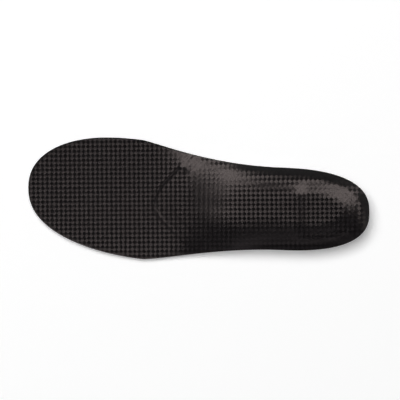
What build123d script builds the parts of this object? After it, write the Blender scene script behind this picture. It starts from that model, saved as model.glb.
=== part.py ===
from build123d import *

import os
from math import cos, hypot, pi, sqrt, tanh

# Full-length foot orthosis (insole) for a left foot, built up in layers round a carbon shell.
#
# The frame, in millimetres: +X runs back from the toes to the heel, +Y points to the medial (arch) side and
# +Z is up. The origin is the middle of the footprint, on the surface that the orthosis rests on.
#
# The layers from the floor up are a grip pad and a rearfoot post under the heel, a lining and a soft
# extension under the toes, a carbon shell from the heel to behind the ball of the foot, an arch pad and a
# heel pad on the shell, and a cushion layer and a woven cover over the whole length. Each layer is glued to
# the next, and the glue's film is left open as a gap of its own thickness.

# --- Footprint ------------------------------------------------------------------------------------
LENGTH = 268.0  # toe tip to heel end
FOREFOOT_WIDTH = 94.0  # across the ball of the foot
HEEL_WIDTH = 64.8  # across the heel seat
BALL_FROM_HEEL = 178.0  # the widest place, measured from the heel end
HEEL_ROUND = 70.0  # length over which the heel rounds off
TOE_FULLNESS = 2.25  # exponent of the rounded toe: 2 is an ellipse, more is squarer
HEEL_FULLNESS = 2.55  # the same for the heel
WAIST_DRAW = 0.655  # under 1, the outline narrows early, just behind the ball
AXIS_OFFSET = -1.0  # the foot's long axis: its place in the middle,
AXIS_LEAN = -0.036  # its steady lean,
AXIS_SWING = -5.1  # and its swing towards the big toe,
SWING_FROM_HEEL = 196.5  # which is centred here
SWING_LENGTH = 55.8

# --- Layers, by thickness from top to bottom: moulding thins them square to the steep rims --------
COVER_THICKNESS = 1.2
CUSHION_THICKNESS = 1.6
EXTENSION_THICKNESS = 2.4
LINING_THICKNESS = 0.8
SHELL_THICKNESS = 2.0
SHELL_EDGE_THICKNESS = 0.8  # at the skived front edge
ARCH_PAD_THICKNESS = 1.8
HEEL_PAD_THICKNESS = 1.3
GRIP_THICKNESS = 1.0
GLUE_LINE = 0.1  # film of contact adhesive between any two layers

# --- How far each layer's edge stands inside the cover's ------------------------------------------
CUSHION_INSET = 0.4
EXTENSION_INSET = 0.9
LINING_INSET = 1.8
SHELL_INSET = 1.4
HEEL_PAD_INSET = 10.0
POST_INSET = 6.0

# --- Contour --------------------------------------------------------------------------------------
HEEL_RAISE = 4.2  # the shell's underside under the heel, above its front edge
RAISE_FRONT_FROM_HEEL = 148.0
RAISE_LENGTH = 46.0
MEDIAL_FLANGE = 14.0  # how far the rim stands up along the arch,
LATERAL_FLANGE = 9.0  # along the outer side,
HEEL_CUP_DEPTH = 12.0  # and round the heel
MEDIAL_FLANGE_FROM_HEEL = 182.0  # where each flange starts to rise
LATERAL_FLANGE_FROM_HEEL = 165.0
FLANGE_FULL_FROM_HEEL = 75.0
ARCH_FLAT_SHARE = 0.12  # share of the half-width that stays flat along the arch,
HEEL_FLAT_SHARE = 0.24  # across the heel cup,
HEEL_END_FLAT_SHARE = 0.65  # and towards its back wall
FLAT_CHANGE_FROM_HEEL = 110.0  # the flat widens from here on
FLAT_CHANGE_LENGTH = 50.0
BANK_SHARE = 0.65  # of a flange's height: the gentle bank, the rest being the steeper rim
BANK_POWER = 1.7
RIM_POWER = 4.0

# --- Shell's front edge, seen from above: a rounded V that points at the toes ---------------------
SHELL_FRONT_FROM_HEEL = 172.0
SHELL_FRONT_Y = -3.0
SHELL_FRONT_RADIUS = 15.0
SHELL_FRONT_SPREAD = 1.18  # how fast each side runs back
SKIVE_LENGTH = 12.0  # the edge is ground thin over this length
SKIVE_RUN_OUT = 0.15  # and the grind carries on past the edge for this share of it
EXTENSION_LAP = 6.0  # the extension lies this far over the skive
LINING_LAP = 14.0  # and the lining this far under the shell
SETTLE = 0.35  # the shell's drop behind the lining
SETTLE_LENGTH = 7.0
LINING_ROLL = 0.2  # the lining lifts off the floor where the sole has risen this far

# --- Pads on the shell, and the post under it -----------------------------------------------------
ARCH_CREST_FROM_HEEL = 108.0
ARCH_CREST_Y = 4.0
ARCH_SWELL_FRONT = 36.0  # length of the swelling in front of its crest
ARCH_SWELL_BACK = 48.0  # and behind it
ARCH_SWELL_HALF_WIDTH = 29.0
PAD_EDGE_THICKNESS = 0.4  # a pad is skived down to this thickness
HEEL_PAD_FRONT_FROM_HEEL = 53.0
HEEL_PAD_SKIVE = 15.0
HEEL_PAD_SIDE_SKIVE = 12.0
HEEL_PAD_CORNER = 6.0  # rounding of its two front corners
POST_FRONT_FROM_HEEL = 60.0
POST_FRONT_LEAN = 6.0  # its front face leans back by this much at the rim's height

# --- How finely the free-form surfaces are described ----------------------------------------------
SECTION_STEP = 4.0  # cross-sections along the foot
POINT_STEP = 4.0  # points across it
SURFACE_MARGIN = 4.0  # the surfaces run this far past the footprint
PAST_RIM = 0.6  # and level out over this share of the half-width past the rim
OUTLINE_POINTS = 44
OUTLINE_ARCS = 12  # the footprint is split into this many arcs
BLOCK_DEPTH = 10.0  # cutting blocks start this far under the floor
BLOCK_TOP = 60.0  # and end this far above it

HALF_LENGTH = LENGTH / 2
HIGHEST_FLANGE = max(MEDIAL_FLANGE, LATERAL_FLANGE, HEEL_CUP_DEPTH)
POST_RIM_LEVEL = LINING_THICKNESS + HEEL_RAISE + HIGHEST_FLANGE
HALF_SPAN = FOREFOOT_WIDTH / 2 + abs(AXIS_OFFSET) + abs(AXIS_SWING) + SURFACE_MARGIN


def station(from_heel):
    """X of a place given by its distance from the heel end."""
    return HALF_LENGTH - from_heel


def clamp(value, low=0.0, high=1.0):
    return min(max(value, low), high)


def ease(value):
    """0 to 1, with a level start and finish."""
    share = clamp(value)
    return share * share * (3 - 2 * share)


def soft_ease(value):
    """0 to 1, with a start and finish that are level and uncurved."""
    share = clamp(value)
    return share**3 * (10 - 15 * share + 6 * share**2)


# --- Footprint ------------------------------------------------------------------------------------
def axis_y(x):
    """Y of the foot's long axis."""
    swing = tanh((x - station(SWING_FROM_HEEL)) / SWING_LENGTH)
    return AXIS_OFFSET + AXIS_LEAN * x + AXIS_SWING * swing


def body_half_width(x):
    """Half-width before the toe and the heel are rounded off."""
    ball = station(BALL_FROM_HEEL)
    heel = station(HEEL_ROUND)
    share = clamp((x - ball) / (heel - ball)) ** WAIST_DRAW
    return (FOREFOOT_WIDTH + (HEEL_WIDTH - FOREFOOT_WIDTH) * ease(share)) / 2


def heel_share(x):
    """0 up to the heel's rounding, 1 at the heel end."""
    return max(0.0, (x - station(HEEL_ROUND)) / HEEL_ROUND)


def toe_share(x):
    """0 back from the ball, 1 at the toe tip."""
    ball = station(BALL_FROM_HEEL)
    return max(0.0, (ball - x) / (ball + HALF_LENGTH))


def half_width(x):
    heel = (1 - clamp(heel_share(x)) ** HEEL_FULLNESS) ** (1 / HEEL_FULLNESS)
    toe = (1 - clamp(toe_share(x)) ** TOE_FULLNESS) ** (1 / TOE_FULLNESS)
    return body_half_width(x) * heel * toe


def outline_points():
    """Points round the footprint, anticlockwise from above, bunched where the toe and the heel turn."""
    stations = [HALF_LENGTH * cos(pi * i / OUTLINE_POINTS) for i in range(OUTLINE_POINTS + 1)]
    medial = [(x, axis_y(x) + half_width(x)) for x in stations]
    lateral = [(x, axis_y(x) - half_width(x)) for x in reversed(stations[1:-1])]
    return medial + lateral


def footprint(inset, z):
    """The closed outline, moved in by the inset, at height z."""
    points = outline_points()
    moved = []
    for i, (x, y) in enumerate(points):
        before = points[i - 1]
        after = points[(i + 1) % len(points)]
        run_x = after[0] - before[0]
        run_y = after[1] - before[1]
        run = hypot(run_x, run_y)
        moved.append(Vector(x - inset * run_y / run, y + inset * run_x / run, z))
    loop = Edge.make_spline(moved, periodic=True)
    return Wire([loop.trim(i / OUTLINE_ARCS, (i + 1) / OUTLINE_ARCS) for i in range(OUTLINE_ARCS)])


# --- Contour --------------------------------------------------------------------------------------
def shell_front_x(y):
    """X of the shell's front edge."""
    side = SHELL_FRONT_SPREAD * (y - SHELL_FRONT_Y)
    return station(SHELL_FRONT_FROM_HEEL) + hypot(SHELL_FRONT_RADIUS, side) - SHELL_FRONT_RADIUS


def behind_front(x, y):
    """Distance behind the shell's front edge, negative in front of it."""
    return x - shell_front_x(y)


def rim_shares(x, y):
    """Place between the foot's axis and the rim, as shares: across, along the heel, and both together."""
    across = (y - axis_y(x)) / body_half_width(x)
    along = heel_share(x)
    reach = (abs(across) ** HEEL_FULLNESS + along**HEEL_FULLNESS) ** (1 / HEEL_FULLNESS)
    return across, along, reach


def rim_rise(x, y):
    """How far the flanges and the heel cup lift the sole."""
    across, along, reach = rim_shares(x, y)
    if reach == 0:
        return 0.0
    backward = along**2 / (across**2 + along**2)
    widening = ease((x - station(FLAT_CHANGE_FROM_HEEL)) / FLAT_CHANGE_LENGTH)
    flat = ARCH_FLAT_SHARE + (HEEL_FLAT_SHARE - ARCH_FLAT_SHARE) * widening
    flat += (HEEL_END_FLAT_SHARE - flat) * backward
    if reach <= flat:
        return 0.0
    if across > 0:
        start, full_height = MEDIAL_FLANGE_FROM_HEEL, MEDIAL_FLANGE
    else:
        start, full_height = LATERAL_FLANGE_FROM_HEEL, LATERAL_FLANGE
    side = full_height * ease((x - station(start)) / (start - FLANGE_FULL_FROM_HEEL))
    height = side + (HEEL_CUP_DEPTH - side) * backward
    if reach > 1:
        reach = 1 + PAST_RIM * tanh((reach - 1) / PAST_RIM)
    outward = (reach - flat) / (1 - flat)
    return height * (BANK_SHARE * outward**BANK_POWER + (1 - BANK_SHARE) * outward**RIM_POWER)


def sole_lift(x, y):
    """How far the sole stands above its level at the toes."""
    raised = HEEL_RAISE * ease((x - station(RAISE_FRONT_FROM_HEEL)) / RAISE_LENGTH)
    settled = SETTLE * ease((behind_front(x, y) - LINING_LAP) / SETTLE_LENGTH)
    return raised - settled + rim_rise(x, y)


def shell_under(x, y):
    """The shell's underside, and the same surface carried on to the toes."""
    return LINING_THICKNESS + GLUE_LINE + sole_lift(x, y)


def lining_over(x, y):
    """The lining's top, and the post's."""
    return shell_under(x, y) - GLUE_LINE


def lining_under(x, y):
    """The lining's underside where it has lifted off the floor."""
    return lining_over(x, y) - LINING_THICKNESS - LINING_ROLL


def shell_over(x, y):
    """The shell's top, ground thin towards its front edge."""
    share = clamp(behind_front(x, y) / SKIVE_LENGTH, -SKIVE_RUN_OUT, 1.0)
    thickness = SHELL_THICKNESS - (SHELL_THICKNESS - SHELL_EDGE_THICKNESS) * (1 - share) ** 2
    return shell_under(x, y) + thickness


def over_shell(x, y):
    """A glue line above the shell: the underside of what lies on it."""
    return shell_over(x, y) + GLUE_LINE


def arch_swell(x, y):
    """The arch pad's swelling: a smooth mound, longer behind its crest than in front."""
    along = x - station(ARCH_CREST_FROM_HEEL)
    length = ARCH_SWELL_BACK if along > 0 else ARCH_SWELL_FRONT
    reach = hypot(along / length, (y - ARCH_CREST_Y) / ARCH_SWELL_HALF_WIDTH)
    return (ARCH_PAD_THICKNESS + GLUE_LINE) * max(0.0, 1 - reach**2) ** 2


def from_rim(x, y):
    """Distance in from the rim beside and behind the heel."""
    across, along, reach = rim_shares(x, y)
    power = HEEL_FULLNESS - 1
    steepness = hypot(abs(across) ** power / body_half_width(x), along**power / HEEL_ROUND)
    return (1 - reach) * reach**power / steepness if steepness else HEEL_WIDTH / 2


def heel_swell(x, y):
    """The heel pad's step: a straight front edge, and a skived edge that follows the heel's outline."""
    side = soft_ease((from_rim(x, y) - HEEL_PAD_INSET + HEEL_PAD_SIDE_SKIVE / 2) / HEEL_PAD_SIDE_SKIVE)
    front = soft_ease((x - station(HEEL_PAD_FRONT_FROM_HEEL) + HEEL_PAD_SKIVE / 2) / HEEL_PAD_SKIVE)
    return (HEEL_PAD_THICKNESS + GLUE_LINE) * front * side


def cushion_under(x, y):
    """The cushion's underside, over the extension, the shell and both pads."""
    over_skive = ease(behind_front(x, y) / SKIVE_LENGTH)
    stack = EXTENSION_THICKNESS + (SHELL_THICKNESS - EXTENSION_THICKNESS) * over_skive
    stack += arch_swell(x, y) + heel_swell(x, y)
    return shell_under(x, y) + stack + GLUE_LINE


def under_cushion(x, y):
    """A glue line below the cushion: the top of what lies under it."""
    return cushion_under(x, y) - GLUE_LINE


def cushion_over(x, y):
    return cushion_under(x, y) + CUSHION_THICKNESS


def cover_under(x, y):
    return cushion_over(x, y) + GLUE_LINE


def cover_over(x, y):
    return cover_under(x, y) + COVER_THICKNESS


# --- Solids ---------------------------------------------------------------------------------------
def evenly(low, high, step):
    """Evenly spaced values from low to high, no further apart than the step."""
    count = int((high - low) / step) + 1
    return [low + (high - low) * i / count for i in range(count + 1)]


def slab(under, over):
    """The solid between two surfaces z = under(x, y) and z = over(x, y), lofted through cross-sections."""
    across = evenly(-HALF_SPAN, HALF_SPAN, POINT_STEP)
    sections = []
    for x in evenly(-HALF_LENGTH - SURFACE_MARGIN, HALF_LENGTH + SURFACE_MARGIN, SECTION_STEP):
        top = [Vector(x, y, over(x, y)) for y in across]
        bottom = [Vector(x, y, under(x, y)) for y in reversed(across)]
        side = Edge.make_line(top[-1], bottom[0])
        other_side = Edge.make_line(bottom[-1], top[0])
        sections.append(Wire([even_spline(top), side, even_spline(bottom), other_side]))
    return Solid.make_loft(sections)


def even_spline(points):
    """A spline whose knots fall on its points at equal steps, so that lofted sections share their knots."""
    last = len(points) - 1
    return Edge.make_spline(points, parameters=[i / last for i in range(last + 1)])


def floor(x, y):
    """A level surface well under the sole."""
    return -BLOCK_DEPTH


def pad_on_shell(outline):
    """A pad of the given plan, between the shell and the cushion. Beyond its plan the two surfaces meet."""
    block = raise_plan(outline) & slab(floor, under_cushion)
    return block - slab(floor, over_shell)


def behind_front_region(distance):
    """Plan of everything from the given distance behind the shell's front edge back past the heel."""
    sides = evenly(-HALF_SPAN, HALF_SPAN, POINT_STEP)
    edge = [Vector(shell_front_x(y) + distance, y) for y in sides]
    back_x = HALF_LENGTH + SURFACE_MARGIN
    corners = [edge[-1], Vector(back_x, HALF_SPAN), Vector(back_x, -HALF_SPAN), edge[0]]
    return Face(Wire([Edge.make_spline(edge), *Wire.make_polygon(corners, close=False).edges()]))


def behind_line_region(x):
    """Plan of everything behind a straight line across the foot."""
    length = HALF_LENGTH + SURFACE_MARGIN - x
    return Pos(x + length / 2, 0) * Rectangle(length, 2 * HALF_SPAN)


def plan(inset):
    """The footprint as a flat face, its edge moved in by the inset."""
    return Face(footprint(inset, 0))


def raise_plan(face, low=0.0):
    """The upright block over a plan, from the given level up."""
    return extrude(Pos(0, 0, low) * face, BLOCK_TOP, dir=(0, 0, 1))


def only_solid(shape):
    """The one solid that a cut has left."""
    solids = shape.solids()
    if len(solids) != 1:
        raise ValueError(f"expected one solid, found {len(solids)}")
    return solids[0]


# --- The pieces -----------------------------------------------------------------------------------
def make_top_cover():
    return only_solid(raise_plan(plan(0)) & slab(cover_under, cover_over))


def make_cushion_layer():
    return only_solid(raise_plan(plan(CUSHION_INSET)) & slab(cushion_under, cushion_over))


def make_arch_pad():
    """A mound skived to a thin edge, which is where the swelling has fallen to the edge's thickness."""
    share = (PAD_EDGE_THICKNESS + GLUE_LINE) / (ARCH_PAD_THICKNESS + GLUE_LINE)
    reach = sqrt(1 - sqrt(share))
    crest = Pos(station(ARCH_CREST_FROM_HEEL), ARCH_CREST_Y)
    half_width_here = ARCH_SWELL_HALF_WIDTH * reach
    oval = crest * Ellipse(ARCH_SWELL_FRONT * reach, half_width_here)
    tail = crest * Ellipse(ARCH_SWELL_BACK * reach, half_width_here)
    front = oval - behind_line_region(station(ARCH_CREST_FROM_HEEL))
    back = tail & behind_line_region(station(ARCH_CREST_FROM_HEEL))
    return only_solid(pad_on_shell(front + back))


def make_heel_pad():
    """D-shaped, with its straight edge across the foot."""
    outline = plan(HEEL_PAD_INSET) & behind_line_region(station(HEEL_PAD_FRONT_FROM_HEEL))
    corners = outline.vertices().group_by(Axis.X)[0]
    rounded = fillet(corners, HEEL_PAD_CORNER)
    return only_solid(pad_on_shell(rounded))


def make_carbon_shell():
    outline = plan(SHELL_INSET) & behind_front_region(0)
    return only_solid(raise_plan(outline) & slab(shell_under, shell_over))


def make_forefoot_extension():
    """The soft sole under the toes, notched for the shell's front edge, which it laps over."""
    outline = plan(EXTENSION_INSET) - behind_front_region(EXTENSION_LAP)
    body = raise_plan(outline) & slab(shell_under, under_cushion)
    shell_space = raise_plan(behind_front_region(-GLUE_LINE)) & slab(floor, over_shell)
    return only_solid(body - shell_space)


def make_forefoot_lining():
    """A thin skin under the extension. It lies flat, and lifts with the sole at its back edge."""
    outline = plan(LINING_INSET) - behind_front_region(LINING_LAP)
    return only_solid(raise_plan(outline) & slab(lining_under, lining_over))


def post_block(low, high):
    """The post's outer form between two levels: the heel's shape with a front face that leans back."""
    front_x = station(POST_FRONT_FROM_HEEL)
    back_x = HALF_LENGTH + SURFACE_MARGIN
    profile = Polyline(
        (front_x, 0),
        (front_x + POST_FRONT_LEAN, POST_RIM_LEVEL),
        (back_x, POST_RIM_LEVEL),
        (back_x, 0),
        close=True,
    )
    wedge = extrude(make_face(Plane.XZ * profile), HALF_SPAN, both=True)
    layer = Pos(0, 0, (low + high) / 2) * Box(2 * LENGTH, 2 * LENGTH, high - low)
    return raise_plan(plan(POST_INSET)) & wedge & layer


def make_rearfoot_post():
    """Fills the space between the grip pad and the heel cup's underside."""
    return only_solid(post_block(GRIP_THICKNESS + GLUE_LINE, POST_RIM_LEVEL) & slab(floor, lining_over))


def make_post_grip():
    return only_solid(post_block(0, GRIP_THICKNESS))


PIECES = {
    "top_cover": make_top_cover,
    "cushion_layer": make_cushion_layer,
    "arch_pad": make_arch_pad,
    "heel_pad": make_heel_pad,
    "carbon_shell": make_carbon_shell,
    "forefoot_extension": make_forefoot_extension,
    "forefoot_lining": make_forefoot_lining,
    "rearfoot_post": make_rearfoot_post,
    "post_grip": make_post_grip,
}

os.makedirs("parts", exist_ok=True)
for name, make in PIECES.items():
    piece = make()
    piece.label = name
    export_step(piece, f"parts/{name}.step")
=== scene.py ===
"""Full-length foot orthosis for a left foot: the visible layers, their finishes and a small studio.

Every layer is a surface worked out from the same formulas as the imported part: a footprint, and a height
that the flanges, the heel cup and the pads lift. The formulas and the sizes below are in millimetres,
unless a comment says otherwise, and make_mesh turns them to metres in the part's own frame: +X back to the
heel, +Y to the arch side, +Z up.
"""

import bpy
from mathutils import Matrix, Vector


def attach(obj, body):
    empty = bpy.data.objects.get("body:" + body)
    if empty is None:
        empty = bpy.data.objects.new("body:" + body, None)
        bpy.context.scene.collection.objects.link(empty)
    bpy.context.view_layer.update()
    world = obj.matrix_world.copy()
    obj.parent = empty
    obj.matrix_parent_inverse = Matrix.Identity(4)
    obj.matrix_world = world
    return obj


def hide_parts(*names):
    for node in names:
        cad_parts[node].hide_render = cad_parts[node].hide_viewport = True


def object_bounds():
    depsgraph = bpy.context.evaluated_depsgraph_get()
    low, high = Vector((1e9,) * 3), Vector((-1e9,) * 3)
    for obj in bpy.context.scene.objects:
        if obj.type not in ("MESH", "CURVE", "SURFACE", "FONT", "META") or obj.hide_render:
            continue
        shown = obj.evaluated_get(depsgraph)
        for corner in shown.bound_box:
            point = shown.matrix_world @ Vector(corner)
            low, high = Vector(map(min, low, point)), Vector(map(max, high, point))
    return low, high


bl_info = {
    "name": "Foot orthosis",
    "version": (1, 0, 0),
    "blender": (4, 5, 0),
    "location": "View3D > Sidebar > Orthosis",
    "description": "Builds the layers, the finishes and the studio of a full-length foot orthosis",
    "category": "Add Mesh",
}

import math

import bmesh
import bpy
import numpy as np
from mathutils import Vector

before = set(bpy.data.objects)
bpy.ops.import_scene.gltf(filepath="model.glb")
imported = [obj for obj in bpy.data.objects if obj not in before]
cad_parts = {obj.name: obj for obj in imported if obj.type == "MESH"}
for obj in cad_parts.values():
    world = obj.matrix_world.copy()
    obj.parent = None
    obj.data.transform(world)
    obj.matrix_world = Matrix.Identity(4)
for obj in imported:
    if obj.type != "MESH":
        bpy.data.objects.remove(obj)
CAD_LOW, CAD_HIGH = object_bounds()

MM = 0.001  # metres

# --- Footprint, in millimetres ------------------------------------------------------------------------
LENGTH = (CAD_HIGH.x - CAD_LOW.x) / MM
HALF_LENGTH = LENGTH / 2
FOREFOOT_WIDTH = 94.0
HEEL_WIDTH = 64.8
BALL_FROM_HEEL = 178.0
HEEL_ROUND = 70.0
TOE_FULLNESS = 2.25
HEEL_FULLNESS = 2.55
WAIST_DRAW = 0.655
AXIS_OFFSET = -1.0
AXIS_LEAN = -0.036
AXIS_SWING = -5.1
SWING_FROM_HEEL = 196.5
SWING_LENGTH = 55.8

# --- Layers -------------------------------------------------------------------------------------------
COVER_THICKNESS = 1.2
CUSHION_THICKNESS = 1.6
EXTENSION_THICKNESS = 2.4
LINING_THICKNESS = 0.8
SHELL_THICKNESS = 2.0
SHELL_EDGE_THICKNESS = 0.8
ARCH_PAD_THICKNESS = 1.8
HEEL_PAD_THICKNESS = 1.3
GRIP_THICKNESS = 1.0
GLUE_LINE = 0.1
CUSHION_INSET = 0.4
EXTENSION_INSET = 0.9
LINING_INSET = 1.8
SHELL_INSET = 1.4
HEEL_PAD_INSET = 10.0

# --- Contour ------------------------------------------------------------------------------------------
HEEL_RAISE = 4.2
RAISE_FRONT_FROM_HEEL = 148.0
RAISE_LENGTH = 46.0
MEDIAL_FLANGE = 14.0
LATERAL_FLANGE = 9.0
HEEL_CUP_DEPTH = 12.0
MEDIAL_FLANGE_FROM_HEEL = 182.0
LATERAL_FLANGE_FROM_HEEL = 165.0
FLANGE_FULL_FROM_HEEL = 75.0
ARCH_FLAT_SHARE = 0.12
HEEL_FLAT_SHARE = 0.24
HEEL_END_FLAT_SHARE = 0.65
FLAT_CHANGE_FROM_HEEL = 110.0
FLAT_CHANGE_LENGTH = 50.0
BANK_SHARE = 0.65
BANK_POWER = 1.7
RIM_POWER = 4.0
SHELL_FRONT_FROM_HEEL = 172.0
SHELL_FRONT_Y = -3.0
SHELL_FRONT_RADIUS = 15.0
SHELL_FRONT_SPREAD = 1.18
SKIVE_LENGTH = 12.0
SKIVE_RUN_OUT = 0.15
EXTENSION_LAP = 6.0
LINING_LAP = 14.0
SETTLE = 0.35
SETTLE_LENGTH = 7.0
LINING_ROLL = 0.2
ARCH_CREST_FROM_HEEL = 108.0
ARCH_CREST_Y = 4.0
ARCH_SWELL_FRONT = 36.0
ARCH_SWELL_BACK = 48.0
ARCH_SWELL_HALF_WIDTH = 29.0
HEEL_PAD_FRONT_FROM_HEEL = 53.0
HEEL_PAD_SKIVE = 15.0
HEEL_PAD_SIDE_SKIVE = 12.0
HEEL_PAD_CORNER = 6.0
PAD_EDGE_THICKNESS = 0.4
POST_INSET = 6.0
POST_FRONT_FROM_HEEL = 60.0
POST_FRONT_LEAN = 6.0
POST_RIM_LEVEL = LINING_THICKNESS + HEEL_RAISE + MEDIAL_FLANGE

# --- How finely the layers are drawn ------------------------------------------------------------------
COVER_ROWS = 600  # rows and columns are up to 0.7 mm apart, so that the weave's relief is in the mesh
COVER_COLUMNS = 142
LAYER_ROWS = 220
LAYER_COLUMNS = 60
RIM_STEPS = 3  # points round each rounded edge
PAD_RINGS = 26
PAD_SPOKES = 160
ROW_BEND_FRONT = 84.0  # the grid's rows take up the shell's V over this length
ROW_BEND_BACK = 100.0  # and lose it again over this one
ROW_HOLD_FRONT = 2.0  # they have all of it from this far in front of the V
ROW_HOLD_BACK = 4.0  # to this far behind the lining's lap
EDGE_SOLVE_STEPS = 30  # repeats that find where a bent row meets the outline
SLOPE_STEP = 0.02  # each way, to take the outline's slope
SMALLEST_SQUARE = 1e-12  # these two keep the foot's axis from a division by zero
SMALLEST_SLOPE = 1e-9
MERGE_DISTANCE = 2e-7  # in metres
COVER_UNDER_COLUMNS = 8
RELIEF_FADE = 0.04  # the tows flatten over this share of the half-width at the rim

# --- Edges and details --------------------------------------------------------------------------------
FOAM_ROUNDING = 0.25
SHELL_ROUNDING = 0.3
LINING_ROUNDING = 0.15
PAD_ROUNDING = 0.15
POST_CORNER = 3.0
TREAD_PITCH = 3.0
TREAD_DEPTH = 0.35
TREAD_SHARPNESS = 4
PRINT_DEPTH = 0.5
PRINT_PLACE = 2.5
PRINT_WIDTH = 1.6
SECOND_PRINT_DEPTH = 0.2
PRINT_MIDDLE_Y = 4.0
PRINT_REACH = 34.0
DIMPLE_X = -11.5
DIMPLE_Y = 25.0
DIMPLE_RADIUS = 4.0
DIMPLE_DEPTH = 0.7

# --- Scales of the patterns, in millimetres -----------------------------------------------------------
FIBRE_BUNDLE = 0.15  # a real fibre is 0.007 mm, too fine to show, so a bundle of them is drawn
FIBRE_WAVER = 0.6  # noise cells along one crossing
LAMINATE_TOW = 2.0
LAMINATE_RELIEF = 0.03
MOTTLE = 6.0
CUSHION_CELL = 0.5
PAD_CELL = 0.4
EXTENSION_CELL = 0.35
POST_CELL = 0.3
NAP_LENGTH = 1.2
NAP_WIDTH = 0.3
NAP_DEPTH = 0.15
RUBBER_GRAIN = 0.4
RUBBER_GRAIN_DEPTH = 0.06

# --- Strengths of the patterns, as shares -------------------------------------------------------------
FIBRE_RELIEF = 0.045  # of a tow's height
CROWN_POWER = 0.5  # the lower the power, the flatter a tow's crown and the steeper its edges
SPAN_POWER = 0.35
TOW_EDGE_PAINTED_SHADE = 0.35  # of the tow's colour: painted shade at its edges, where it dips under the next
TOW_LIT_HEIGHT = 0.7  # of its crown: above it the tow has its full colour, below it the painted shade sets in
PIT_REACH = 0.5  # of a foam cell, from its middle to where its wall starts
PIT_DEPTH = 0.35  # of a foam cell's size
# painted shade in the pits: how much lighter a cell's wall is than its middle
PIT_PAINTED_SHADE = 0.5
MOTTLE_SHADE = 0.6
FOAM_SHADE = 0.55  # the tone at the bottom of a pit's painted shade, before the mottle
NOISE_LOW = 0.3  # a noise lies mostly between these two
NOISE_HIGH = 0.7
NAP_SHADE = 0.55
BLOOM_SHADE = 0.7
BLOOM_LIGHT = 1.25

# --- Studio -------------------------------------------------------------------------------------------
FLOOR_LEVEL = -0.1  # a little under the part, so that the two don't flicker
FLOOR_TINT = "#f3f3f3"
HORIZON_TOP = 0.06  # the room is pale up to this height on a sphere of radius 1
CEILING_START = 0.16  # and dim from this one on
LAMP_DISTANCE = 3.0  # in metres, as the lamps' sizes are
KEY_DIRECTION = (-0.14, 0.26, 0.95)
KEY_SIZE = 1.5
GLOSS_DIRECTION = (-0.34, -0.60, 0.75)
GLOSS_SIZE = 1.7
SIDE_DIRECTION = (-0.10, 0.75, 0.65)
SIDE_SIZE = 1.2
FILL_DIRECTION = (-0.3, -0.35, -0.9)  # from under the floor, which lets it through to the underside
FILL_SIZE = 2.5
WHITE = "#ffffff"
GLOSS_TINT = "#ffeeea"
SIDE_TINT = "#fff0f2"
CAMERA_LENS = 300.0  # long, so that the view is nearly parallel
CAMERA_REACH = 100.0  # in metres
VIEW_X = 1.3  # the camera's place beside the middle of the part
VIEW_Y = -1.4

MATH = "ShaderNodeMath"


def station(from_heel):
    """X of a place given by its distance from the heel end."""
    return HALF_LENGTH - from_heel


def ease(value):
    """0 to 1, with a level start and finish: 3s^2 - 2s^3."""
    share = np.clip(value, 0.0, 1.0)
    return share * share * (3 - 2 * share)


def soft_ease(value):
    """0 to 1, with a start and finish that are level and uncurved: 10s^3 - 15s^4 + 6s^5."""
    share = np.clip(value, 0.0, 1.0)
    return share**3 * (10 - 15 * share + 6 * share**2)


def axis_y(x):
    """Y of the foot's long axis: an offset, a steady lean and a tanh swing towards the big toe."""
    return AXIS_OFFSET + AXIS_LEAN * x + AXIS_SWING * np.tanh((x - station(SWING_FROM_HEEL)) / SWING_LENGTH)


def body_half_width(x):
    """Half-width before the ends are rounded: eased from the ball's to the heel's."""
    ball = station(BALL_FROM_HEEL)
    heel = station(HEEL_ROUND)
    share = np.clip((x - ball) / (heel - ball), 0.0, 1.0) ** WAIST_DRAW
    return (FOREFOOT_WIDTH + (HEEL_WIDTH - FOREFOOT_WIDTH) * ease(share)) / 2


def heel_share(x):
    """0 where the heel starts to round and 1 at its end."""
    return np.maximum(0.0, (x - station(HEEL_ROUND)) / HEEL_ROUND)


def toe_share(x):
    """0 at the ball and 1 at the toe's tip."""
    ball = station(BALL_FROM_HEEL)
    return np.maximum(0.0, (ball - x) / (ball + HALF_LENGTH))


def half_width(x):
    """The body's half-width times a superellipse at each end: (1 - s^n)^(1/n)."""
    heel = (1 - np.clip(heel_share(x), 0, 1) ** HEEL_FULLNESS) ** (1 / HEEL_FULLNESS)
    toe = (1 - np.clip(toe_share(x), 0, 1) ** TOE_FULLNESS) ** (1 / TOE_FULLNESS)
    return body_half_width(x) * heel * toe


def shell_front_x(y):
    """X of the shell's front edge: a hyperbola, which is a V with a rounded point."""
    side = SHELL_FRONT_SPREAD * (y - SHELL_FRONT_Y)
    return station(SHELL_FRONT_FROM_HEEL) + np.hypot(SHELL_FRONT_RADIUS, side) - SHELL_FRONT_RADIUS


def behind_front(x, y):
    """Distance along the foot behind the shell's front edge."""
    return x - shell_front_x(y)


def rim_shares(x, y):
    """Place between the axis and the rim: across, along the heel, and both as one superellipse radius."""
    across = (y - axis_y(x)) / body_half_width(x)
    along = heel_share(x)
    reach = (np.abs(across) ** HEEL_FULLNESS + along**HEEL_FULLNESS) ** (1 / HEEL_FULLNESS)
    return across, along, reach


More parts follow.
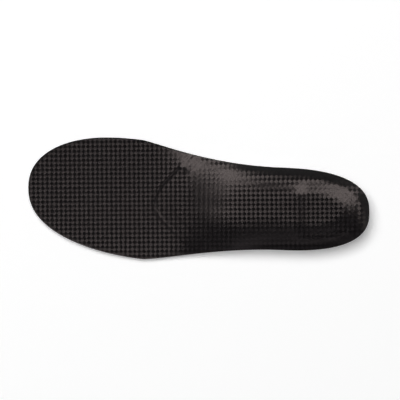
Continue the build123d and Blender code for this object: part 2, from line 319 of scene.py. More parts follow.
def rim_rise(x, y):
    """Lift of the flanges and the heel cup: flat in the middle, then two powers of the way out.

    The first power is a gentle bank and the second a steeper rim. Towards the heel's end the height and
    the flat share go over to the cup's.
    """
    across, along, reach = rim_shares(x, y)
    backward = along**2 / np.maximum(across**2 + along**2, SMALLEST_SQUARE)
    widening = ease((x - station(FLAT_CHANGE_FROM_HEEL)) / FLAT_CHANGE_LENGTH)
    flat = ARCH_FLAT_SHARE + (HEEL_FLAT_SHARE - ARCH_FLAT_SHARE) * widening
    flat = flat + (HEEL_END_FLAT_SHARE - flat) * backward
    start = np.where(across > 0, MEDIAL_FLANGE_FROM_HEEL, LATERAL_FLANGE_FROM_HEEL)
    full_height = np.where(across > 0, MEDIAL_FLANGE, LATERAL_FLANGE)
    side = full_height * ease((x - station(start)) / (start - FLANGE_FULL_FROM_HEEL))
    height = side + (HEEL_CUP_DEPTH - side) * backward
    outward = np.maximum(reach - flat, 0.0) / (1 - flat)
    return height * (BANK_SHARE * outward**BANK_POWER + (1 - BANK_SHARE) * outward**RIM_POWER)


def sole_lift(x, y):
    """Lift of the sole: the heel's raise, less the drop behind the lining, and the rim's rise."""
    raised = HEEL_RAISE * ease((x - station(RAISE_FRONT_FROM_HEEL)) / RAISE_LENGTH)
    settled = SETTLE * ease((behind_front(x, y) - LINING_LAP) / SETTLE_LENGTH)
    return raised - settled + rim_rise(x, y)


def shell_under(x, y):
    """The lifted sole, over the lining."""
    return LINING_THICKNESS + GLUE_LINE + sole_lift(x, y)


def lining_over(x, y):
    """A glue line under the shell."""
    return shell_under(x, y) - GLUE_LINE


def lining_under(x, y):
    """Flat on the floor, and above it where the sole has lifted clear."""
    return np.maximum(0.0, lining_over(x, y) - LINING_THICKNESS - LINING_ROLL)


def shell_over(x, y):
    """The shell's top: its thickness falls off as a square towards the skived front edge."""
    share = np.clip(behind_front(x, y) / SKIVE_LENGTH, -SKIVE_RUN_OUT, 1.0)
    thickness = SHELL_THICKNESS - (SHELL_THICKNESS - SHELL_EDGE_THICKNESS) * (1 - share) ** 2
    return shell_under(x, y) + thickness


def extension_under(x, y):
    """Over the lining, and over the shell's skive where it laps that."""
    return np.where(behind_front(x, y) > -GLUE_LINE, shell_over(x, y) + GLUE_LINE, shell_under(x, y))


def arch_swell(x, y):
    """The arch pad's mound: (1 - r^2)^2 of an oval that is longer behind its crest."""
    along = x - station(ARCH_CREST_FROM_HEEL)
    length = np.where(along > 0, ARCH_SWELL_BACK, ARCH_SWELL_FRONT)
    reach = np.hypot(along / length, (y - ARCH_CREST_Y) / ARCH_SWELL_HALF_WIDTH)
    return (ARCH_PAD_THICKNESS + GLUE_LINE) * np.maximum(0.0, 1 - reach**2) ** 2


def from_rim(x, y):
    """Distance in from the rim beside and behind the heel: the share left, over that share's slope."""
    across, along, reach = rim_shares(x, y)
    power = HEEL_FULLNESS - 1
    slope = np.hypot(np.abs(across) ** power / body_half_width(x), along**power / HEEL_ROUND)
    return (1 - reach) * reach**power / np.maximum(slope, SMALLEST_SLOPE)


def heel_swell(x, y):
    """The heel pad's step: eased over its straight front edge, and over its skived sides."""
    side = soft_ease((from_rim(x, y) - HEEL_PAD_INSET + HEEL_PAD_SIDE_SKIVE / 2) / HEEL_PAD_SIDE_SKIVE)
    front = soft_ease((x - station(HEEL_PAD_FRONT_FROM_HEEL) + HEEL_PAD_SKIVE / 2) / HEEL_PAD_SKIVE)
    return (HEEL_PAD_THICKNESS + GLUE_LINE) * front * side


def cushion_under(x, y):
    """Over the extension, eased over the skive to the shell's top, and over the two pads."""
    over_skive = ease(behind_front(x, y) / SKIVE_LENGTH)
    stack = EXTENSION_THICKNESS + (SHELL_THICKNESS - EXTENSION_THICKNESS) * over_skive
    return shell_under(x, y) + stack + arch_swell(x, y) + heel_swell(x, y) + GLUE_LINE


def under_cushion(x, y):
    """Top of the pads and the extension: a glue line under the cushion."""
    return cushion_under(x, y) - GLUE_LINE


def cushion_over(x, y):
    """A cushion's thickness over its underside."""
    return cushion_under(x, y) + CUSHION_THICKNESS


def cover_under(x, y):
    """A glue line over the cushion."""
    return cushion_over(x, y) + GLUE_LINE


def cover_over(x, y):
    """A cover's thickness over its underside, before its tows are added."""
    return cover_under(x, y) + COVER_THICKNESS


# --- Grids and meshes ---------------------------------------------------------------------------------
def row_x(centre_x, y):
    """X along a row of the grid: parallel to the shell's front edge near it, eased straight elsewhere."""
    front = station(SHELL_FRONT_FROM_HEEL)
    gather = ease((centre_x - front + ROW_BEND_FRONT) / (ROW_BEND_FRONT - ROW_HOLD_FRONT))
    release = 1 - ease((centre_x - front - LINING_LAP - ROW_HOLD_BACK) / ROW_BEND_BACK)
    return centre_x + gather * release * (shell_front_x(y) - front)


def outline_ends(centre_x):
    """Where each row meets the outline, as lateral and medial points, found by repeated substitution."""
    ends = []
    for side in (-1.0, 1.0):
        x = centre_x
        for _ in range(EDGE_SOLVE_STEPS):
            y = axis_y(x) + side * half_width(x)
            x = np.clip(row_x(centre_x, y), -HALF_LENGTH, HALF_LENGTH)
        ends.append(np.stack([x, axis_y(x) + side * half_width(x)], axis=1))
    return ends


def footprint_reach(x, y):
    """1 on the outline and less inside: the superellipse radius of the toe or, behind it, of the heel."""
    across = np.abs(y - axis_y(x)) / body_half_width(x)
    toe = (across**TOE_FULLNESS + toe_share(x) ** TOE_FULLNESS) ** (1 / TOE_FULLNESS)
    heel = (across**HEEL_FULLNESS + heel_share(x) ** HEEL_FULLNESS) ** (1 / HEEL_FULLNESS)
    return np.where(toe_share(x) > 0, toe, heel)


def inset_from(points, distance):
    """Outline points moved in: against the gradient of footprint_reach, taken by central differences."""
    x, y = points[:, 0], points[:, 1]
    slope_x = footprint_reach(x + SLOPE_STEP, y) - footprint_reach(x - SLOPE_STEP, y)
    slope_y = footprint_reach(x, y + SLOPE_STEP) - footprint_reach(x, y - SLOPE_STEP)
    slope = np.stack([slope_x, slope_y], axis=1)
    return points - distance * slope / np.linalg.norm(slope, axis=1)[:, None]


def row_stations(rows, start=None, end=None):
    """Centre stations of the rows: bunched by a sine or cosine at a rounded end, even at an open one."""
    share = np.linspace(0, 1, rows)
    if start is not None:
        return start + (HALF_LENGTH - start) * np.sin(share * math.pi / 2)
    if end is not None:
        return -HALF_LENGTH + (end + HALF_LENGTH) * (1 - np.cos(share * math.pi / 2))
    return -HALF_LENGTH * np.cos(share * math.pi)


def across_row(stations, lateral, medial, columns):
    """Points along each row: y runs evenly, and x follows the row's curve, shifted to meet both ends."""
    share = np.linspace(0, 1, columns)[None, :]
    y = lateral[:, 1:2] + (medial[:, 1:2] - lateral[:, 1:2]) * share
    shift_lateral = lateral[:, 0:1] - row_x(stations[:, None], lateral[:, 1:2])
    shift_medial = medial[:, 0:1] - row_x(stations[:, None], medial[:, 1:2])
    x = row_x(stations[:, None], y) + shift_lateral + (shift_medial - shift_lateral) * share
    return x, y


def layer_half(stations, ends, inset, height, rounding, columns, upward):
    """One face of a layer with its rounded rim, from the lateral wall to the medial one.

    Across the face z = height(x, y). Round the rim, by an angle a from 90 degrees to 0, the point stands in
    by the radius times 1 - sin a, and z leaves the face by the radius times 1 - cos a.
    """
    lateral, medial = (inset_from(points, inset + rounding) for points in ends)
    x, y = across_row(stations, lateral, medial, columns)
    parts = [np.stack([x, y, height(x, y)], axis=2)]
    for step in range(1, RIM_STEPS + 1):
        angle = step / RIM_STEPS * math.pi / 2
        stand_in = inset + rounding * (1 - math.sin(angle))
        drop = rounding * (1 - math.cos(angle)) * (-1 if upward else 1)
        lateral, medial = (inset_from(points, stand_in) for points in ends)
        for index, rim in ((0, lateral), (len(parts) + 1, medial)):
            z = height(rim[:, 0], rim[:, 1]) + drop
            parts.insert(index, np.stack([rim[:, 0], rim[:, 1], z], axis=1)[:, None, :])
    return np.concatenate(parts, axis=1)


def make_mesh(name, corners, faces):
    """A closed piece from corners and quads, with its doubles merged and its faces turned outwards."""
    mesh = bpy.data.meshes.new(name)
    mesh.from_pydata((corners * MM).tolist(), [], faces.tolist())
    build = bmesh.new()
    build.from_mesh(mesh)
    bmesh.ops.remove_doubles(build, verts=build.verts, dist=MERGE_DISTANCE)
    bmesh.ops.dissolve_degenerate(build, edges=build.edges, dist=MERGE_DISTANCE)
    bmesh.ops.recalc_face_normals(build, faces=build.faces)
    build.to_mesh(mesh)
    build.free()
    mesh.shade_smooth()
    piece = bpy.data.objects.new(name, mesh)
    bpy.context.scene.collection.objects.link(piece)
    return piece


def strip_faces(first, second):
    """Quads between two rows of corner numbers of the same length."""
    return np.stack([first[:-1], first[1:], second[1:], second[:-1]], axis=1)


def make_layer(
    name, inset, over, under, rounding, rows, columns, under_columns=None, start=None, end=None
):
    """A closed layer: a loop over its top, down a wall, back under and up again, carried along the foot.

    Rows that end in a point at the toe or the heel close there. A row at an open end is capped by quads
    between its upper and its lower half.
    """
    stations = row_stations(rows, start, end)
    ends = outline_ends(stations)
    upper = layer_half(stations, ends, inset, over, rounding, columns, True)
    lower = layer_half(stations, ends, inset, under, rounding, under_columns or columns, False)
    loop = np.concatenate([upper, lower[:, ::-1]], axis=1)
    count = loop.shape[1]
    numbers = np.arange(rows * count).reshape(rows, count)
    wrapped = np.concatenate([numbers, numbers[:, :1]], axis=1)
    faces = [strip_faces(wrapped[i], wrapped[i + 1]) for i in range(rows - 1)]
    for row, is_open in ((0, start is not None), (-1, end is not None)):
        if is_open:
            half = upper.shape[1]
            faces.append(strip_faces(numbers[row, :half], numbers[row, half:][::-1]))
    return make_mesh(name, loop.reshape(-1, 3), np.concatenate(faces))


def pad_face(rim, height, rounding, upward):
    """Rings of a pad's face from its middle out: evenly shared spokes, then turned over the rounded edge.

    Over the edge, by an angle a up to 90 degrees, a point stands in by the radius times 1 - sin a, and
    leaves the face by the radius times 1 - cos a.
    """
    centre = rim.mean(axis=0)
    spokes = rim - centre
    lengths = np.linalg.norm(spokes, axis=1)
    angles = np.linspace(0, math.pi / 2, RIM_STEPS + 1)[1:, None]
    flat = np.linspace(0, 1, PAD_RINGS)[:, None] * (1 - rounding / lengths)
    turned = 1 - rounding * (1 - np.sin(angles)) / lengths
    points = centre + np.concatenate([flat, turned])[:, :, None] * spokes
    drop = np.concatenate([np.zeros((PAD_RINGS, 1)), rounding * (1 - np.cos(angles))])
    z = height(points[..., 0], points[..., 1]) + drop * (-1 if upward else 1)
    return np.dstack([points, z])


def make_pad(name, upper_rim, lower_rim, over, under, rounding):
    """A closed pad: rings out over its top, down its wall, and back to the middle underneath."""
    upper = pad_face(upper_rim, over, rounding, True)
    lower = pad_face(lower_rim, under, rounding, False)
    rings = np.concatenate([upper, lower[::-1]])
    numbers = np.arange(rings.shape[0] * rings.shape[1]).reshape(rings.shape[:2])
    wrapped = np.concatenate([numbers, numbers[:, :1]], axis=1)
    faces = [strip_faces(wrapped[i], wrapped[i + 1]) for i in range(len(wrapped) - 1)]
    return make_mesh(name, rings.reshape(-1, 3), np.concatenate(faces))


def round_corners(points, radius):
    """A closed outline with rounded corners: evenly spaced points, each averaged over its neighbours."""
    closed = np.concatenate([points, points[:1]])
    run = np.concatenate([[0], np.cumsum(np.linalg.norm(np.diff(closed, axis=0), axis=1))])
    places = np.linspace(0, run[-1], PAD_SPOKES, endpoint=False)
    even = np.stack([np.interp(places, run, closed[:, axis]) for axis in (0, 1)], axis=1)
    reach = max(1, round(radius / (run[-1] / PAD_SPOKES)))
    shifts = range(-reach, reach + 1)
    return sum(np.roll(even, shift, axis=0) for shift in shifts) / len(shifts)


def heel_rim(inset, front_x, corner):
    """The heel's outline moved in, from a straight line across the foot round the back and home again."""
    stations = front_x + (HALF_LENGTH - front_x) * np.sin(np.linspace(0, math.pi / 2, PAD_SPOKES))
    sides = []
    for side in (-1.0, 1.0):
        outline = np.stack([stations, axis_y(stations) + side * half_width(stations)], axis=1)
        sides.append(inset_from(outline, inset))
    return round_corners(np.concatenate([sides[0], sides[1][::-1]]), corner)


def arch_rim():
    """Half an oval before the crest and a longer half behind, where the mound thins to the pad's edge."""
    share = (PAD_EDGE_THICKNESS + GLUE_LINE) / (ARCH_PAD_THICKNESS + GLUE_LINE)
    reach = math.sqrt(1 - math.sqrt(share))
    angle = np.linspace(0, 2 * math.pi, PAD_SPOKES, endpoint=False)
    length = np.where(np.cos(angle) > 0, ARCH_SWELL_BACK, ARCH_SWELL_FRONT)
    x = station(ARCH_CREST_FROM_HEEL) + length * reach * np.cos(angle)
    y = ARCH_CREST_Y + ARCH_SWELL_HALF_WIDTH * reach * np.sin(angle)
    return np.stack([x, y], axis=1)


def level(z):
    """A level surface as a height function."""
    return lambda x, y: np.full(np.shape(x), z)


def over_shell(x, y):
    """Underside of the pads: a glue line over the shell."""
    return shell_over(x, y) + GLUE_LINE


def grip_under(x, y):
    """The grip's tread: grooves across the foot, a raised cosine to a power, so that the lands are wide."""
    wave = (1 - np.cos(2 * math.pi * x / TREAD_PITCH)) / 2
    return TREAD_DEPTH * wave**TREAD_SHARPNESS


def edge_print(x, y):
    """The shell's front edge showing through the cover: a groove at the edge and one where the lining ends.

    Each is a bell curve over the distance behind the edge, and both fade out along the edge by another.
    """
    behind = behind_front(x, y)
    groove = PRINT_DEPTH * np.exp(-(((behind - PRINT_PLACE) / PRINT_WIDTH) ** 2))
    second = SECOND_PRINT_DEPTH * np.exp(-(((behind - LINING_LAP - SETTLE_LENGTH / 2) / PRINT_WIDTH) ** 2))
    fade = np.exp(-(((y - PRINT_MIDDLE_Y) / PRINT_REACH) ** 4))
    return (groove + second) * fade


def corner_dimple(x, y):
    """The cover dips where the shell's medial corner ends: a round bell curve."""
    away = np.hypot(x - DIMPLE_X, y - DIMPLE_Y) / DIMPLE_RADIUS
    return DIMPLE_DEPTH * np.exp(-(away**2))


def woven_over(x, y):
    """The cover's top with its tows: each crossing is a small pillow, (sin p sin q)^2 over the two tows."""
    finish = bpy.context.scene.orthosis_finish
    tow = finish.tow_width / MM
    turn = finish.weave_turn
    p = (x * math.cos(turn) + y * math.sin(turn)) / tow
    q = (y * math.cos(turn) - x * math.sin(turn)) / tow
    pillow = (np.sin(math.pi * p) * np.sin(math.pi * q)) ** 2
    inside = ease((1 - footprint_reach(x, y)) / RELIEF_FADE)
    tows = finish.weave_relief / MM * (pillow - 1) * inside
    return cover_over(x, y) + tows - edge_print(x, y) - corner_dimple(x, y)


# --- Finishes -----------------------------------------------------------------------------------------
def colour(code):
    """Linear red, green, blue and alpha of an sRGB hex colour.

    A channel c gives c / 12.92 when dark, and otherwise ((c + 0.055) / 1.055)^2.4.
    """
    channels = [int(code[i : i + 2], 16) / 255 for i in (1, 3, 5)]
    return (*[c / 12.92 if c <= 0.04045 else ((c + 0.055) / 1.055) ** 2.4 for c in channels], 1.0)


def add_node(tree, kind, inputs=None, **settings):
    """Adds a node with its settings. Each input is a plain value, or a node or socket to link from.

    A Mix node's sockets share their names, so they go by number: 2 and 3 in and 0 out for values, 4 and 5
    in and 1 out for vectors, and 6 and 7 in and 2 out for colours. Input 0 is the factor.
    """
    node = tree.nodes.new(kind)
    for name, value in settings.items():
        setattr(node, name, value)
    for socket, value in (inputs or {}).items():
        if isinstance(value, bpy.types.Node):
            value = value.outputs[0]
        if isinstance(value, bpy.types.NodeSocket):
            tree.links.new(value, node.inputs[socket])
        else:
            node.inputs[socket].default_value = value
    return node


def new_material(name, **values):
    """A material with a Principled shader that takes the values, returned with its tree and shader."""
    material = bpy.data.materials.new(name)
    material.use_nodes = True
    tree = material.node_tree
    tree.nodes.clear()
    inputs = {socket.replace("_", " "): value for socket, value in values.items()}
    shader = add_node(tree, "ShaderNodeBsdfPrincipled", inputs)
    add_node(tree, "ShaderNodeOutputMaterial", {"Surface": shader})
    return material, tree, shader


def dress(tree, shader, tint, shade, height, depth):
    """Gives a shader its colour, the tint times a shade, and a bump from a height map and its depth."""
    shaded = add_node(
        tree,
        "ShaderNodeMix",
        {0: 1.0, 6: tint, 7: shade},
        data_type="RGBA",
        blend_type="MULTIPLY",
    )
    bump = add_node(tree, "ShaderNodeBump", {"Height": height, "Distance": depth})
    tree.links.new(shaded.outputs[2], shader.inputs["Base Color"])
    tree.links.new(bump.outputs[0], shader.inputs["Normal"])


def weave_nodes(tree, tow, turn, floats):
    """Adds a weave's pattern to a material, and returns what its colour, bump and tangent need.

    The place along and across the two tow directions, p and q, is counted in tows. A tow floats over this
    many others: where whole p plus whole q, modulo twice the float, is less than the float, the p tow is on
    top, and elsewhere the q tow. Across is the place over the top tow's width and along is the place over
    the crossing, both from -0.5 to 0.5. Fibres is a noise drawn out along the tow.
    """
    place = add_node(tree, "ShaderNodeTexCoord").outputs["Object"]
    scale = 1 / tow
    turned = add_node(
        tree,
        "ShaderNodeMapping",
        {"Vector": place, "Rotation": (0, 0, -turn), "Scale": (scale, scale, 0)},
    )
    split = add_node(tree, "ShaderNodeSeparateXYZ", {0: turned})
    whole_p = add_node(tree, MATH, {0: split.outputs[0]}, operation="FLOOR")
    whole_q = add_node(tree, MATH, {0: split.outputs[1]}, operation="FLOOR")
    steps = add_node(tree, MATH, {0: whole_p, 1: whole_q}, operation="ADD")
    phase = add_node(tree, MATH, {0: steps, 1: 2.0 * floats}, operation="FLOORED_MODULO")
    q_on_top = add_node(tree, MATH, {0: phase, 1: floats - 0.5}, operation="GREATER_THAN")
    part_p = add_node(tree, MATH, {0: split.outputs[0]}, operation="FRACT")
    part_q = add_node(tree, MATH, {0: split.outputs[1]}, operation="FRACT")
    across = add_node(tree, "ShaderNodeMix", {0: q_on_top, 2: part_q, 3: part_p})
    along = add_node(tree, "ShaderNodeMix", {0: q_on_top, 2: part_p, 3: part_q})
    across = add_node(tree, MATH, {0: across, 1: 0.5}, operation="SUBTRACT")
    along = add_node(tree, MATH, {0: along, 1: 0.5}, operation="SUBTRACT")
    strand = add_node(tree, MATH, {0: across, 1: tow / (FIBRE_BUNDLE * MM)}, operation="MULTIPLY")
    strand = add_node(tree, MATH, {0: strand, 1: steps}, operation="ADD")
    streak = add_node(tree, MATH, {0: along, 1: FIBRE_WAVER}, operation="MULTIPLY")
    streaks = add_node(tree, "ShaderNodeCombineXYZ", {0: strand, 1: streak, 2: whole_p})
    fibres = add_node(tree, "ShaderNodeTexNoise", {"Vector": streaks, "Scale": 1.0, "Detail": 1.0})
    cross_p = (-math.sin(turn), math.cos(turn), 0)
    cross_q = (math.cos(turn), math.sin(turn), 0)
    crosswise = add_node(
        tree, "ShaderNodeMix", {0: q_on_top, 4: cross_p, 5: cross_q}, data_type="VECTOR"
    )
    return q_on_top, across, along, fibres, crosswise.outputs[1]


def weave_height(tree, across, along, fibres):
    """Adds a tow's height: cosines across and along it, each to a power, alone and then with its fibres."""
    crowns = []
    for place, power in ((across, CROWN_POWER), (along, SPAN_POWER)):
        angle = add_node(tree, MATH, {0: place, 1: math.pi}, operation="MULTIPLY")
        crown = add_node(tree, MATH, {0: angle}, operation="COSINE")
        crowns.append(add_node(tree, MATH, {0: crown, 1: power}, operation="POWER"))
    pillow = add_node(tree, MATH, {0: crowns[0], 1: crowns[1]}, operation="MULTIPLY")
    combed = add_node(
        tree, MATH, {0: fibres, 1: FIBRE_RELIEF, 2: pillow}, operation="MULTIPLY_ADD"
    )
    return pillow, combed


def woven_carbon_cloth(finish):
    """Plain-woven carbon cloth under a thin satin film: square tows at 45 degrees to the foot.

    A fibre scatters light broadly across itself and hardly at all along itself, so the two families of tows
    take turns to shine as the sole bends, and the cover shows a chequer that comes and goes. Besides, one
    family is painted a lighter tone than the other, a painted sheen that stays put, and each tow gets
    painted shade towards its edges, where it dips under the next.
    """
    material, tree, shader = new_material(
        "woven_carbon_cloth",
        Roughness=0.42,
        Anisotropic=0.9,
        IOR=1.5,
    )
    q_on_top, across, along, fibres, crosswise = weave_nodes(tree, finish.tow_width, finish.weave_turn, 1)
    pillow, height = weave_height(tree, across, along, fibres)
    # Painted sheen: the q tows get a lighter copy of the carbon's tone than the p tows
    tows = add_node(
        tree,
        "ShaderNodeMix",
        {0: q_on_top, 6: tuple(finish.carbon_painted_shade), 7: tuple(finish.carbon_painted_sheen)},
        data_type="RGBA",
    )
    # Painted shade: each tow darkens towards its edges, where it dips under the next
    shade = add_node(
        tree,
        "ShaderNodeMapRange",
        {"Value": pillow, "From Max": TOW_LIT_HEIGHT, "To Min": TOW_EDGE_PAINTED_SHADE},
    )
    dress(tree, shader, tows.outputs[2], shade, height, finish.weave_bump)
    tree.links.new(crosswise, shader.inputs["Tangent"])
    return material


def carbon_laminate(finish):
    """Carbon laminate pressed from twill prepreg: dark diagonal tows under a smooth clear resin skin.

    The resin gives one sharp reflection, and the 2/2 twill below it a softer one that steps along the tows.
    One family of tows is also painted a lighter tone than the other, a painted sheen that stays put.
    """
    material, tree, shader = new_material(
        "carbon_laminate",
        Roughness=0.35,
        Anisotropic=0.7,
        Coat_Weight=1.0,
        Coat_Roughness=0.12,
    )
    q_on_top, across, along, fibres, crosswise = weave_nodes(tree, LAMINATE_TOW * MM, math.pi / 4, 2)
    height = weave_height(tree, across, along, fibres)[1]
    # Painted sheen: the q tows get a lighter copy of the laminate's tone than the p tows
    tows = add_node(
        tree,
        "ShaderNodeMix",
        {0: q_on_top, 6: tuple(finish.laminate_painted_shade), 7: tuple(finish.laminate_painted_sheen)},
        data_type="RGBA",
    )
    bump = add_node(tree, "ShaderNodeBump", {"Height": height, "Distance": LAMINATE_RELIEF * MM})
    tree.links.new(tows.outputs[2], shader.inputs["Base Color"])
    tree.links.new(bump.outputs[0], shader.inputs["Normal"])
    tree.links.new(crosswise, shader.inputs["Tangent"])
    return material


def foam(name, tint, cell, roughness):
    """Cut foam: matt, with painted shade in its open cells and a slow mottle from the block's density."""
    material, tree, shader = new_material(name, Roughness=roughness, Specular_IOR_Level=0.25)
    place = add_node(tree, "ShaderNodeTexCoord").outputs["Object"]
    cells = add_node(tree, "ShaderNodeTexVoronoi", {"Vector": place, "Scale": 1 / (cell * MM)})
    pits = add_node(
        tree, "ShaderNodeMapRange", {"Value": cells.outputs["Distance"], "From Max": PIT_REACH}
    )
    mottle = add_node(
        tree, "ShaderNodeTexNoise", {"Vector": place, "Scale": 1 / (MOTTLE * MM), "Detail": 3.0}
    )
    shade = add_node(tree, MATH, {0: mottle, 1: MOTTLE_SHADE, 2: FOAM_SHADE}, operation="MULTIPLY_ADD")
    # Painted shade in each pit, darkest at its middle; the mottle is the foam's own uneven tone
    shade = add_node(tree, MATH, {0: pits, 1: PIT_PAINTED_SHADE, 2: shade}, operation="MULTIPLY_ADD")
    dress(tree, shader, tuple(tint), shade, pits, cell * PIT_DEPTH * MM)
    return material


def brushed_lining(finish):
    """Brushed nylon lining: a short nap that lies mostly one way and glows a little at grazing angles."""
    material, tree, shader = new_material(
        "brushed_nylon_lining",
        Roughness=0.95,
        Specular_IOR_Level=0.2,
        Sheen_Weight=0.35,
        Sheen_Roughness=0.5,
    )
    place = add_node(tree, "ShaderNodeTexCoord").outputs["Object"]
    scale = (1 / (NAP_LENGTH * MM), 1 / (NAP_WIDTH * MM), 1)
    combed = add_node(tree, "ShaderNodeMapping", {"Vector": place, "Scale": scale})
    nap = add_node(tree, "ShaderNodeTexNoise", {"Vector": combed, "Scale": 1.0, "Detail": 3.0})
    shade = add_node(
        tree,
        "ShaderNodeMapRange",
        {"Value": nap, "From Min": NOISE_LOW, "From Max": NOISE_HIGH, "To Min": NAP_SHADE},
    )
    dress(tree, shader, tuple(finish.lining), shade, nap, NAP_DEPTH * MM)
    return material


def grip_rubber(finish):
    """Moulded nitrile rubber: nearly black and satin, with a fine etched grain and a dusty bloom."""
    material, tree, shader = new_material("moulded_nitrile_rubber", Roughness=0.62)
    place = add_node(tree, "ShaderNodeTexCoord").outputs["Object"]
    grain, bloom = (
        add_node(tree, "ShaderNodeTexNoise", {"Vector": place, "Scale": 1 / (size * MM), "Detail": 4.0})
        for size in (RUBBER_GRAIN, MOTTLE)
    )
    shade = add_node(
        tree,
        "ShaderNodeMapRange",
        {
            "Value": bloom,
            "From Min": NOISE_LOW,
            "From Max": NOISE_HIGH,
            "To Min": BLOOM_SHADE,
            "To Max": BLOOM_LIGHT,
        },
    )
    dress(tree, shader, tuple(finish.rubber), shade, grain, RUBBER_GRAIN_DEPTH * MM)
    return material


def finish_piece(piece, material, slot, *nodes):
    """Gives a piece its material, and has it ride on the body and stand for its CAD nodes. The slot is not
    used.
    """
    piece.data.materials.clear()
    piece.data.materials.append(material)
    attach(piece, "root")
    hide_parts(*nodes)
    return piece


# --- What a user would change -------------------------------------------------------------------------
def tint_property(name, description, code):
    """A colour that a user can change, with an sRGB hex value as its default."""
    return bpy.props.FloatVectorProperty(
        name=name, description=description, default=colour(code), size=4, subtype="COLOR"
    )


class OrthosisFinish(bpy.types.PropertyGroup):
    """Sizes and colours of the finishes."""

    tow_width: bpy.props.FloatProperty(
        name="Tow width", description="Width of one tow in the cover", default=2.55 * MM, unit="LENGTH"
    )
    weave_turn: bpy.props.FloatProperty(
        name="Weave turn",
        description="Angle of the cover's tows from the foot's length",
        default=math.radians(45.5),
        subtype="ANGLE",
    )
    weave_relief: bpy.props.FloatProperty(
        name="Weave relief", description="Height of the tows in the mesh", default=0.03 * MM, unit="LENGTH"
    )
    weave_bump: bpy.props.FloatProperty(
        name="Weave bump", description="Height of the tows in the shading", default=0.04 * MM, unit="LENGTH"
    )
    rim_rounding: bpy.props.FloatProperty(
        name="Rim rounding", description="Radius of the cover's ground rim", default=0.5 * MM, unit="LENGTH"
    )
    # The cover's tow families are one carbon: painted shade on the first, painted sheen on the second
    carbon_painted_shade: tint_property("Carbon, first tows", "Cover tows of the first family", "#0a0809")
    carbon_painted_sheen: tint_property("Carbon, second tows", "Cover tows of the second family", "#151214")
    # The shell's tow families likewise: painted shade on the first, painted sheen on the second
    laminate_painted_shade: tint_property("Laminate, first tows", "Shell tows of the first family", "#141416")
    laminate_painted_sheen: tint_property("Laminate, second tows", "Shell tows of the second family", "#2a2a2d")
    cushion: tint_property("Cushion", "Open-cell cushion foam", "#2f2f33")
    pads: tint_property("Pads", "Foam of the arch and heel pads", "#3a3d42")
    eva: tint_property("EVA", "Extension and post", "#38383c")
    lining: tint_property("Lining", "Brushed lining under the toes", "#303035")
    rubber: tint_property("Rubber", "Grip under the heel", "#242425")


class OrthosisStudio(bpy.types.PropertyGroup):
    """The lamps, the floor and the camera."""

    key_power: bpy.props.FloatProperty(
        name="Key power",
        description="Power of the lamp that casts the shadow",
        default=72.0,
        unit="POWER",
    )
    gloss_power: bpy.props.FloatProperty(
        name="Gloss power",
        description="Power of the lamp that only the gloss shows",
        default=71.0,
        unit="POWER",
    )
    side_power: bpy.props.FloatProperty(
        name="Side power",
        description="Power of the lamp that the lateral bank mirrors",
        default=5.5,
        unit="POWER",
    )
    fill_power: bpy.props.FloatProperty(
        name="Fill power",
        description="Power of the lamp that lights the underside",
        default=80.0,
        unit="POWER",
    )
    ceiling: bpy.props.FloatProperty(
        name="Ceiling", description="Brightness of the room overhead", default=0.05, min=0.0
    )
    horizon: bpy.props.FloatProperty(
        name="Horizon", description="Brightness of the room at eye level and below", default=1.0, min=0.0
    )
    floor_glow: bpy.props.FloatProperty(
        name="Floor glow", description="Light added to the floor as it is seen", default=0.3, min=0.0
    )
    floor_size: bpy.props.FloatProperty(
        name="Floor size", description="Side of the floor", default=14.0, unit="LENGTH"
    )
    view_width: bpy.props.FloatProperty(
        name="View width", description="Width that the camera takes in", default=314.4 * MM, unit="LENGTH"
    )


# --- Operators ----------------------------------------------------------------------------------------
class ORTHOSIS_OT_cover(bpy.types.Operator):
    """Makes the woven cover"""

    bl_idname = "orthosis.cover"
    bl_label = "Woven cover"

    def execute(self, context):
        finish = context.scene.orthosis_finish
        rounding = finish.rim_rounding / MM
        cover = make_layer(
            "woven_cover",
            0.0,
            woven_over,
            cover_under,
            rounding,
            COVER_ROWS,
            COVER_COLUMNS,
            under_columns=COVER_UNDER_COLUMNS,
        )
        finish_piece(cover, woven_carbon_cloth(finish), "carbon_weave_cover", "top_cover")
        return {"FINISHED"}


class ORTHOSIS_OT_cushion(bpy.types.Operator):
    """Makes the foam cushion under the cover"""

    bl_idname = "orthosis.cushion"
    bl_label = "Cushion"

    def execute(self, context):
        cushion = make_layer(
            "foam_cushion",
            CUSHION_INSET,
            cushion_over,
            cushion_under,
            FOAM_ROUNDING,
            LAYER_ROWS,
            LAYER_COLUMNS,
        )
        material = foam("open_cell_polyurethane", context.scene.orthosis_finish.cushion, CUSHION_CELL, 0.95)
        finish_piece(cushion, material, "cushion_foam", "cushion_layer")
        return {"FINISHED"}


class ORTHOSIS_OT_pads(bpy.types.Operator):
    """Makes the arch pad and the heel pad between the shell and the cushion"""

    bl_idname = "orthosis.pads"
    bl_label = "Arch and heel pads"

    def execute(self, context):
        material = foam("closed_cell_pad_foam", context.scene.orthosis_finish.pads, PAD_CELL, 0.9)
        heel = heel_rim(HEEL_PAD_INSET, station(HEEL_PAD_FRONT_FROM_HEEL), HEEL_PAD_CORNER)
        for name, rim, node in (("arch_foam", arch_rim(), "arch_pad"), ("heel_foam", heel, "heel_pad")):
            pad = make_pad(name, rim, rim, under_cushion, over_shell, PAD_ROUNDING)
            finish_piece(pad, material, "pad_foam", node)
        return {"FINISHED"}


class ORTHOSIS_OT_shell(bpy.types.Operator):
    """Makes the carbon shell"""

    bl_idname = "orthosis.shell"
    bl_label = "Carbon shell"

    def execute(self, context):
        shell = make_layer(
            "laminate_shell",
            SHELL_INSET,
            shell_over,
            shell_under,
            SHELL_ROUNDING,
            LAYER_ROWS,
            LAYER_COLUMNS,
            start=station(SHELL_FRONT_FROM_HEEL),
        )
        material = carbon_laminate(context.scene.orthosis_finish)
        finish_piece(shell, material, "carbon_laminate", "carbon_shell")
        return {"FINISHED"}


